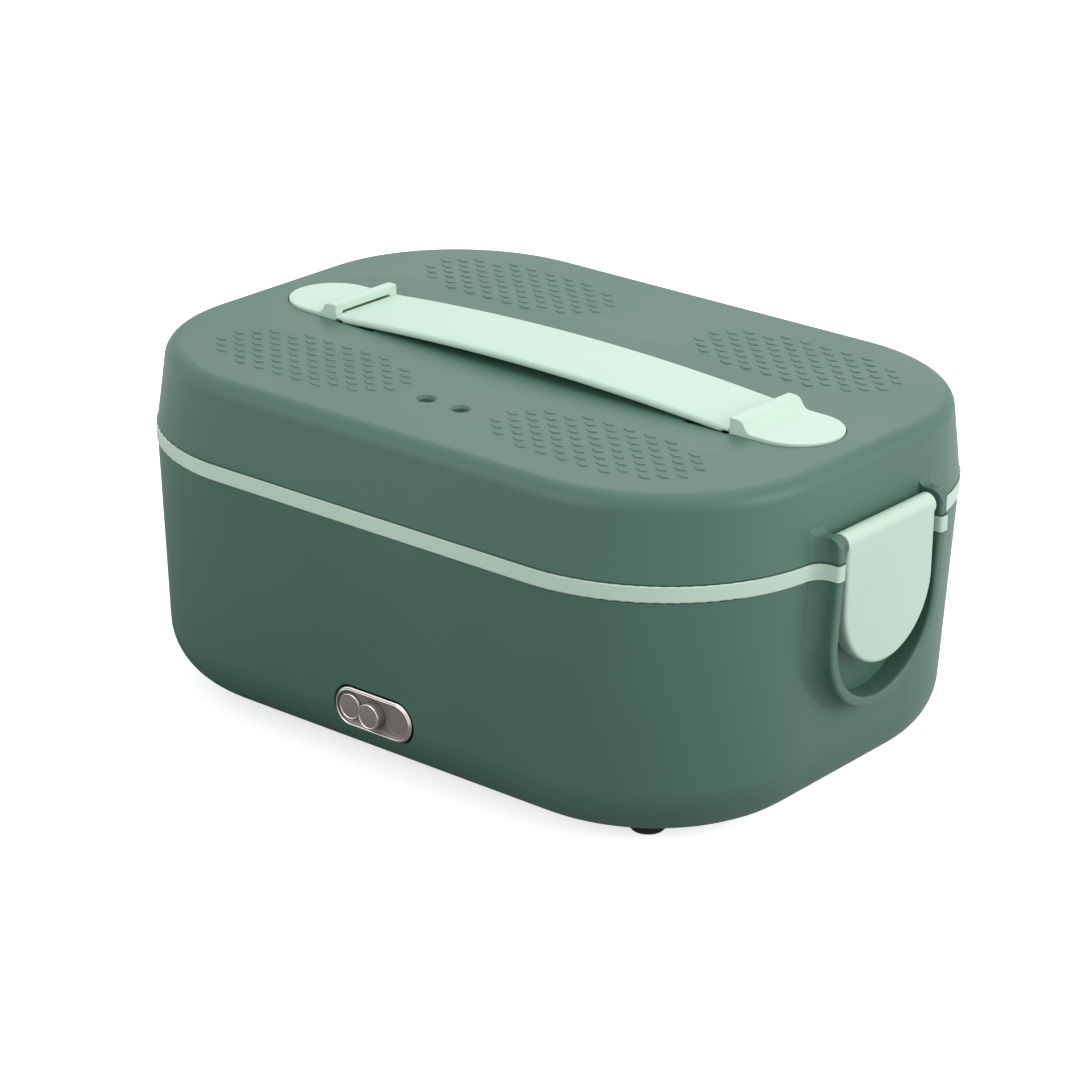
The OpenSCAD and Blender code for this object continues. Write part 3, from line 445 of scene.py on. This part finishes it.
def make_finishes():
    """Every finish by the name of its slot in the record."""
    c = bpy.context.scene.lunch_box_colours
    return {
        # ABS, spark-textured: a silky matt green whose grazing gloss keeps a little of the pigment
        "shell_green": moulded(
            "sage_textured_abs", tuple(c.sage), 0.5, 0.5, 0.03, shine=0.75, tint=(0.82, 1, 0.94)
        ),
        "mint_plastic": mint_moulding("mint_polypropylene"),
        # thermoplastic elastomer over a stiff core: dull and soft to the touch
        "strap_soft": moulded("mint_soft_elastomer", tuple(c.strap), 0.55, 0.4, 0.02, 0.02, edge=0),
        # ABS from a coarser mould: a dry, sooty black
        "bottom_plastic": moulded("black_textured_abs", linear("#2c2e2e"), 0.55, 0.6, 0.05),
        # nylon filled with glass: a harder, smoother black
        "inlet_black": moulded("black_glass_filled_nylon", linear("#161616"), 0.42, 0.4, 0.02),
        # phenolic, pressed hot: dark brown with a hard satin face
        "cutout_phenolic": moulded("brown_phenolic", linear("#4a3024"), 0.4, 0.8, 0.03),
        # rubber, moulded: dull black under a bloom of dust
        "foot_rubber": rubbery("black_rubber", linear("#1c1c1c"), 0.75, 1.2),
        "gasket_rubber": rubbery("black_gasket_rubber", linear("#0c0f0e"), 0.7, 1.2),
        # silicone, moulded: soft white with a low gloss
        "silicone": rubbery("white_silicone", linear("#ece9df"), 0.5, 2.0),
        # PVC, extruded: black with a slight gloss
        "wire_insulation": rubbery("black_wire_insulation", linear("#222224"), 0.45, 1.5),
        # stainless sheet, drawn and brushed along its length: bright, with fine long lines
        "tray_steel": brushed("brushed_stainless", linear("#c9c8c4"), 0.3, 0.3),
        # aluminium, rolled or extruded: paler and duller, with broader lines
        "plate_aluminium": brushed("rolled_aluminium", linear("#cdced0"), 0.36, 0.5),
        "heater_body": brushed("extruded_aluminium", linear("#bdbcb8"), 0.42, 0.6),
        # steel strip, tempered: grey and smooth
        "spring_steel": plated("spring_steel", linear("#a9a9a6"), 0.28),
        # steel, zinc plated: cold light grey
        "screw_steel": plated("zinc_plated_screw", linear("#b3b4b2"), 0.3),
        # brass, nickel plated: bright, a shade warmer
        "pin_nickel": plated("nickel_plated_brass", linear("#d4d0c6"), 0.18),
        # vacuum-plated ABS: nearly a mirror, faintly warm
        "bezel_chrome": plated("plated_bezel", linear("#f0ebe8"), 0.16),
        # ABS with a thin warm grey metal film under a satin lacquer, lighter on the buttons and lens
        "panel_grey": plated("metallised_grey_panel", tuple(c.panel), 0.42, 0.5),
        "button_grey": plated("metallised_grey_button", tuple(x * 1.25 for x in c.panel), 0.38, 0.5),
        "lens_grey": plated("smoked_grey_lens", tuple(x * 1.12 for x in c.panel), 0.34, 0.45),
        # glass-fibre board under its mask: a green gloss with the tracks just showing
        "board_green": circuit("solder_masked_board", linear("#1f6b3d")),
        # polypropylene, moulded without pigment: milky and faintly see-through
        "lid_clear": milky("milky_polypropylene", linear("#eef1ec"), 0.38),
    }


FINISHES = {}  # by slot, filled by the operator that dresses the pieces


def dress(obj, slot):
    """Gives a piece the one finish of its slot."""
    obj.data.materials.clear()
    obj.data.materials.append(FINISHES[slot])


# Pieces


def new_piece(name, bm, body, slot):
    """Makes a bmesh an object with its finish, on its body, or on none."""
    mesh = bpy.data.meshes.new(name)
    bm.to_mesh(mesh)
    bm.free()
    obj = bpy.data.objects.new(name, mesh)
    bpy.context.scene.collection.objects.link(obj)
    for p in mesh.polygons:
        p.use_smooth = True
    mesh.set_sharp_from_angle(angle=CREASE)
    dress(obj, slot)
    if body:
        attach(obj, body)
    return obj


def softened(node, width, body):
    """A copy of a moulded CAD piece with its sharp edges rounded as a mould leaves them."""
    bm = bmesh.new()
    bm.from_mesh(frame["nodes"][node].data)
    bmesh.ops.remove_doubles(bm, verts=bm.verts, dist=MERGE)
    bmesh.ops.dissolve_limit(bm, angle_limit=FLAT, verts=bm.verts, edges=bm.edges)
    slot = next(s["material_slot"] for s in frame["record"]["subparts"] if s["node"] == node)
    obj = new_piece(node + "_soft", bm, body, slot)
    soft = obj.modifiers.new("edge", "BEVEL")
    soft.width = width
    soft.segments = 3
    soft.profile = 0.5
    soft.limit_method = "ANGLE"
    soft.angle_limit = CORNER
    soft.miter_outer = "MITER_ARC"
    soft.harden_normals = False
    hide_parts(node)
    return obj


class LUNCHBOX_OT_finishes(bpy.types.Operator):
    """Give every CAD piece its moulded, rubber or metal finish"""

    bl_idname = "lunch_box.finishes"
    bl_label = "Finishes"

    def execute(self, context):
        FINISHES.update(make_finishes())
        for part in frame["record"]["subparts"]:
            dress(frame["nodes"][part["node"]], part["material_slot"])
        # the band's moulding, with painted shade outside the band and in its seams, for the liner
        band = mint_moulding("mint_polypropylene_band_painted_seams")
        liner = frame["nodes"]["inner_liner"]
        liner.data.materials.clear()
        liner.data.materials.append(paint_seam_shade(band, *SEAMS, context.scene.lunch_box_sizes.seam))
        return {"FINISHED"}


class LUNCHBOX_OT_caps(bpy.types.Operator):
    """Round the moulded edges of the handle caps"""

    bl_idname = "lunch_box.caps"
    bl_label = "Handle caps"

    def execute(self, context):
        for node in ("handle_cap_left", "handle_cap_right"):
            softened(node, context.scene.lunch_box_sizes.cap_edge, "lid")
        return {"FINISHED"}


class LUNCHBOX_OT_latches(bpy.types.Operator):
    """Round the moulded edges of the two latch flaps"""

    bl_idname = "lunch_box.latches"
    bl_label = "Latches"

    def execute(self, context):
        for node in ("latch_left", "latch_right"):
            softened(node, context.scene.lunch_box_sizes.latch_edge, node)
        return {"FINISHED"}


class LUNCHBOX_OT_controls(bpy.types.Operator):
    """Round the edges of the bezel and the buttons, and add the fine rims of the buttons and the lens"""

    bl_idname = "lunch_box.controls"
    bl_label = "Controls"

    def execute(self, context):
        s = context.scene.lunch_box_sizes
        softened("control_bezel", s.bezel_edge, "base")
        for node in ("mode_button", "power_button"):
            softened(node, s.button_edge, node)
            self.rim(node, node, s.rim_wide, s.rim_inset, "bezel_chrome")
        self.rim("indicator_lens", "base", s.rim_wide * 0.4, s.lens_inset, "button_grey")
        return {"FINISHED"}

    def rim(self, node, body, wide, inset, slot):
        """The fine ring round the face of a button or the lens, spun about its own axis."""
        low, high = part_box(node)
        centre = ((low[0] + high[0]) / 2, low[1], (low[2] + high[2]) / 2)
        radius = (high[2] - low[2]) / 2 - inset
        bm = bmesh.new()
        bmesh.ops.create_circle(bm, segments=12, radius=wide)
        start = (centre[0] + radius, centre[1] + wide / 2, centre[2])
        bmesh.ops.translate(bm, vec=start, verts=bm.verts)
        bmesh.ops.spin(
            bm,
            geom=bm.verts[:] + bm.edges[:],
            cent=centre,
            axis=(0, 1, 0),
            angle=2 * math.pi,
            steps=64,
            use_merge=True,
        )
        bmesh.ops.remove_doubles(bm, verts=bm.verts, dist=MERGE)
        bmesh.ops.recalc_face_normals(bm, faces=bm.faces)
        new_piece(node + "_rim", bm, body, slot)


def lengthways(bm):
    """The edges that run along X."""
    return [e for e in bm.edges if abs((e.verts[0].co - e.verts[1].co).normalized().x) > 0.9]


class LUNCHBOX_OT_strap(bpy.types.Operator):
    """Model the soft strap in two halves, curved down over the lengths beneath them"""

    bl_idname = "lunch_box.strap"
    bl_label = "Strap"

    def execute(self, context):
        s = context.scene.lunch_box_sizes
        low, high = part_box("strap_mid")
        bend, crown = high[0] + STRAP_SPLIT / 2, high[2]
        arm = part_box("strap_arm_right")
        reach = arm[1][0]
        long = reach + s.strap_tuck
        drop = crown - arm[0][2] - s.strap_thick
        for side in (1, -1):
            bm = bmesh.new()
            bmesh.ops.create_cube(bm, size=1.0)
            bmesh.ops.scale(bm, vec=(long, 2 * s.strap_mid, s.strap_thick), verts=bm.verts)
            bmesh.ops.translate(bm, vec=(long / 2, 0, -s.strap_thick / 2), verts=bm.verts)
            bmesh.ops.bevel(
                bm,
                geom=lengthways(bm),
                offset=s.strap_thick * STRAP_ROUND,
                offset_type="OFFSET",
                segments=5,
                profile=0.5,
                affect="EDGES",
                material=-1,
            )
            bmesh.ops.subdivide_edges(bm, edges=lengthways(bm), cuts=48, use_grid_fill=False)
            for v in bm.verts:
                if v.co.x > reach:
                    v.co.z *= TUCK_THIN  # thinner tucked ends, to stay clear of the lid
                t = v.co.x / reach
                v.co.y *= 1 - t * t * (1 - s.strap_end / s.strap_mid)
                v.co.z += crown - drop * t * t
            if side < 0:
                half_turn = Matrix.Rotation(math.pi, 3, "Z")
                bmesh.ops.rotate(bm, cent=(0, 0, 0), matrix=half_turn, verts=bm.verts)
            bmesh.ops.recalc_face_normals(bm, faces=bm.faces)
            word = "right" if side > 0 else "left"
            arm_body = "strap_arm_" + word
            half = new_piece("strap_" + word, bm, None, "strap_soft")
            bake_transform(half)
            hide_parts(*(["strap_mid", arm_body] if side > 0 else [arm_body]))
        return {"FINISHED"}


class LUNCHBOX_OT_relief(bpy.types.Operator):
    """Raise the four patches of small diamonds on the lid"""

    bl_idname = "lunch_box.relief"
    bl_label = "Lid relief"

    def execute(self, context):
        s = context.scene.lunch_box_sizes
        rows = math.ceil(s.patch_wide / s.pitch_wide)
        cols = math.ceil(s.patch_long / s.pitch_long)
        for name, sx, sy in (
            ("front_left", -1, -1),
            ("front_right", 1, -1),
            ("back_left", -1, 1),
            ("back_right", 1, 1),
        ):
            bm = bmesh.new()
            for row in range(-rows, rows + 1):
                for col in range(-cols, cols + 1):
                    x = (col + (0.5 if row % 2 else 0)) * s.pitch_long
                    y = row * s.pitch_wide
                    # the patch is an oblong with softly rounded corners
                    if abs(x / s.patch_long) ** 3 + abs(y / s.patch_wide) ** 3 <= 1:
                        self.diamond(bm, s, (sx * s.patch_x + x, sy * s.patch_y + y, LID_TOP))
            new_piece("relief_" + name, bm, "lid", "shell_green")
        return {"FINISHED"}

    def diamond(self, bm, s, place):
        """One raised diamond, half of whose height is sunk in the lid."""
        made = bmesh.ops.create_cone(
            bm,
            cap_ends=True,
            segments=4,
            radius1=0.5,
            radius2=0.5 * DIAMOND_TOP,
            depth=1.0,
        )["verts"]
        grown = (s.diamond_long, s.diamond_wide, s.diamond_high * 2)
        bmesh.ops.scale(bm, vec=grown, verts=made)
        bmesh.ops.translate(bm, vec=place, verts=made)


# Stage

PHOTO = 1080  # side of the photograph, in pixels
FOCAL = 3845.04  # focal length of the solved camera, in pixels
OFF_CENTRE = (-11.7, -10.4)  # its shift across and up, in pixels
AZIMUTH = math.radians(38.62)
ELEVATION = math.radians(21.6)
ROLL = math.radians(-1.15)
AIM = Vector((0, 0, 0.055))  # the point that it looks at
AWAY = 1.17187  # its distance from that point, in metres
FLOOR_HALF = 3  # half the side of the floor, in metres
FLOOR_DROP = 0.2 * MM  # the floor lies this far under the feet
SHADED = (-0.1, -0.2, 0)  # centre of a painted shade in the floor's glow, in front of the panel
SHADED_FROM = 0.12  # the painted glow begins to rise this far from there, in metres
SHADED_TO = 0.5  # and is full this far from there
SHADED_GLOW = 0.66  # the floor's painted glow there, as the camera sees it; a mirror sees none there
SKY_ON_OBJECT = 0.62  # strength of the white surround where it lights the object


class LUNCHBOX_OT_stage(bpy.types.Operator):
    """Set up the floor, the soft lights, the white surround and the camera"""

    bl_idname = "lunch_box.stage"
    bl_label = "Stage"

    def execute(self, context):
        scene = context.scene
        scene.view_settings.view_transform = "Standard"
        self.camera(scene)
        self.floor(scene)
        self.lamps(scene)
        self.surround(scene)
        return {"FINISHED"}

    def camera(self, scene):
        """The camera solved from the photograph's outline: angles, distance, roll and a small shift."""
        flat = math.cos(ELEVATION)
        back = Vector((math.sin(AZIMUTH) * flat, -math.cos(AZIMUTH) * flat, math.sin(ELEVATION)))
        right = Vector((math.cos(AZIMUTH), math.sin(AZIMUTH), 0))
        up = back.cross(right)
        x = right * math.cos(ROLL) - up * math.sin(ROLL)
        y = right * math.sin(ROLL) + up * math.cos(ROLL)
        turn = Matrix((x, y, back)).transposed().to_4x4()
        data = bpy.data.cameras.new("camera")
        data.sensor_width = 36
        data.lens = FOCAL / PHOTO * data.sensor_width
        data.shift_x = OFF_CENTRE[0] / PHOTO
        data.shift_y = OFF_CENTRE[1] / PHOTO
        data.clip_end = 20
        obj = bpy.data.objects.new("camera", data)
        obj.matrix_world = Matrix.Translation(AIM + back * AWAY) @ turn
        scene.collection.objects.link(obj)
        scene.camera = obj

    def floor(self, scene):
        bm = bmesh.new()
        bmesh.ops.create_grid(bm, x_segments=1, y_segments=1, size=FLOOR_HALF)
        bmesh.ops.translate(bm, vec=(0, 0, -FLOOR_DROP), verts=bm.verts)
        mesh = bpy.data.meshes.new("floor")
        bm.to_mesh(mesh)
        bm.free()
        obj = bpy.data.objects.new("floor", mesh)
        scene.collection.objects.link(obj)
        obj.data.materials.append(self.paper(scene))

    def paper(self, scene):
        """Matt white paper, its fibre 4 mm across to show, with a painted white glow for the camera and
        for mirrors.
        The camera finds it white apart from the object's soft shadow. The glow is dimmed round a point in
        front of the panel, a painted shade that a glossy side mirrors dark near the object and white
        further off.
        What it throws back onto the object is a grey, as in a studio with black flags low down."""
        m = new_material("white_studio_paper")
        at = add(m, "ShaderNodeTexCoord")
        fibre = add(m, "ShaderNodeTexNoise", Vector=(at, "Object"), Scale=1 / (4 * MM), Detail=2.0)
        base = tuple(scene.lunch_box_colours.floor)
        tone = add(
            m,
            "ShaderNodeMix",
            {"data_type": "RGBA"},
            Factor=(fibre, "Fac"),
            _6=(*[c * 0.98 for c in base], 1),
            _7=(*base, 1),
        )
        path = add(m, "ShaderNodeLightPath")
        direct = add(
            m,
            "ShaderNodeMath",
            {"operation": "MAXIMUM"},
            _0=(path, "Is Camera Ray"),
            _1=(path, "Is Transmission Ray"),
        )
        dull = add(
            m,
            "ShaderNodeMix",
            {"data_type": "RGBA"},
            Factor=(direct, 0),
            _6=(*scene.lunch_box_colours.flag, 1),
            _7=(tone, 2),
        )
        # painted shade in the glow: mirrors see the floor dark near the panel
        near = add(m, "ShaderNodeMath", {"operation": "MULTIPLY"}, _0=(direct, 0), _1=SHADED_GLOW)
        apart = add(
            m, "ShaderNodeVectorMath", {"operation": "DISTANCE"}, _0=(at, "Object"), _1=SHADED
        )
        lift = add(
            m,
            "ShaderNodeMapRange",
            {"interpolation_type": "SMOOTHSTEP"},
            Value=(apart, "Value"),
            From_Min=SHADED_FROM,
            From_Max=SHADED_TO,
            To_Min=(near, 0),
            To_Max=1.0,
        )
        glow = add(
            m,
            "ShaderNodeMath",
            {"operation": "MULTIPLY"},
            _0=(lift, "Result"),
            _1=(self.watched(m), 0),
        )
        matt = add(m, "ShaderNodeBsdfDiffuse", Color=(dull, 2))
        white = add(m, "ShaderNodeEmission", Color=(1, 1, 1, 1), Strength=(glow, 0))
        both = add(m, "ShaderNodeAddShader", _0=(matt, 0), _1=(white, 0))
        add(m, "ShaderNodeOutputMaterial", Surface=(both, 0))
        return m

    def watched(self, m):
        """1 for the camera's rays and those mirrored or let through, 0 for light that is scattered."""
        path = add(m, "ShaderNodeLightPath")
        sharp = add(
            m,
            "ShaderNodeMath",
            {"operation": "MAXIMUM"},
            _0=(path, "Is Glossy Ray"),
            _1=(path, "Is Transmission Ray"),
        )
        return add(
            m,
            "ShaderNodeMath",
            {"operation": "MAXIMUM"},
            _0=(path, "Is Camera Ray"),
            _1=(sharp, 0),
        )

    def lamps(self, scene):
        """Soft lamps: each has its place, what it faces, its watts, its width and its height."""
        for name, place, target, power, wide, tall in (
            ("overhead softbox", (0.1, 0.2, 1.3), (0, 0, 0.08), 3.4, 1.1, 0.9),
            ("back softbox", (-0.6, 1.1, 0.75), (0, 0, 0.1), 1.6, 0.9, 0.7),
            ("right softbox", (1.3, 0.4, 0.6), (0.05, 0, 0.06), 8.6, 0.8, 0.8),
            ("front softbox", (-0.4, -1.4, 0.7), (0, 0, 0.06), 5.2, 0.9, 0.8),
        ):
            data = bpy.data.lights.new(name, "AREA")
            data.shape = "RECTANGLE"
            data.size = wide
            data.size_y = tall
            data.energy = power
            obj = bpy.data.objects.new(name, data)
            way = Vector(place) - Vector(target)
            turn = way.to_track_quat("Z", "Y").to_matrix().to_4x4()
            obj.matrix_world = Matrix.Translation(place) @ turn
            scene.collection.objects.link(obj)

    def surround(self, scene):
        """A white surround that lights the object a little less than it shows."""
        world = bpy.data.worlds.new("surround")
        world.use_nodes = True
        world.node_tree.nodes.clear()
        soft = add(world, "ShaderNodeBackground", Color=(1, 1, 1, 1), Strength=SKY_ON_OBJECT)
        white = add(world, "ShaderNodeBackground", Color=(1, 1, 1, 1), Strength=1.0)
        pick = add(
            world, "ShaderNodeMixShader", _0=(self.watched(world), 0), _1=(soft, 0), _2=(white, 0)
        )
        add(world, "ShaderNodeOutputWorld", Surface=(pick, 0))
        scene.world = world


class LUNCHBOX_PT_panel(bpy.types.Panel):
    """Sidebar panel that lists the sizes, the colours and the operators"""

    bl_label = "Lunch Box"
    bl_idname = "LUNCHBOX_PT_panel"
    bl_space_type = "VIEW_3D"
    bl_region_type = "UI"
    bl_category = "Lunch Box"

    def draw(self, context):
        for group in (context.scene.lunch_box_sizes, context.scene.lunch_box_colours):
            for key in group.__annotations__:
                self.layout.prop(group, key)
        for step in STEPS:
            self.layout.operator(step.bl_idname)


GROUPS = {"lunch_box_colours": LunchBoxColours, "lunch_box_sizes": LunchBoxSizes}
STEPS = (
    LUNCHBOX_OT_stage,
    LUNCHBOX_OT_finishes,
    LUNCHBOX_OT_caps,
    LUNCHBOX_OT_latches,
    LUNCHBOX_OT_controls,
    LUNCHBOX_OT_strap,
    LUNCHBOX_OT_relief,
)


def register():
    for name, group in GROUPS.items():
        bpy.utils.register_class(group)
        setattr(bpy.types.Scene, name, bpy.props.PointerProperty(type=group))
    for step in STEPS:
        bpy.utils.register_class(step)
    bpy.utils.register_class(LUNCHBOX_PT_panel)


def unregister():
    bpy.utils.unregister_class(LUNCHBOX_PT_panel)
    for step in reversed(STEPS):
        bpy.utils.unregister_class(step)
    for name, group in GROUPS.items():
        delattr(bpy.types.Scene, name)
        bpy.utils.unregister_class(group)


def main():
    register()
    for step in STEPS:
        group, name = step.bl_idname.split(".")
        getattr(getattr(bpy.ops, group), name)()


if __name__ == "__main__":
    main()
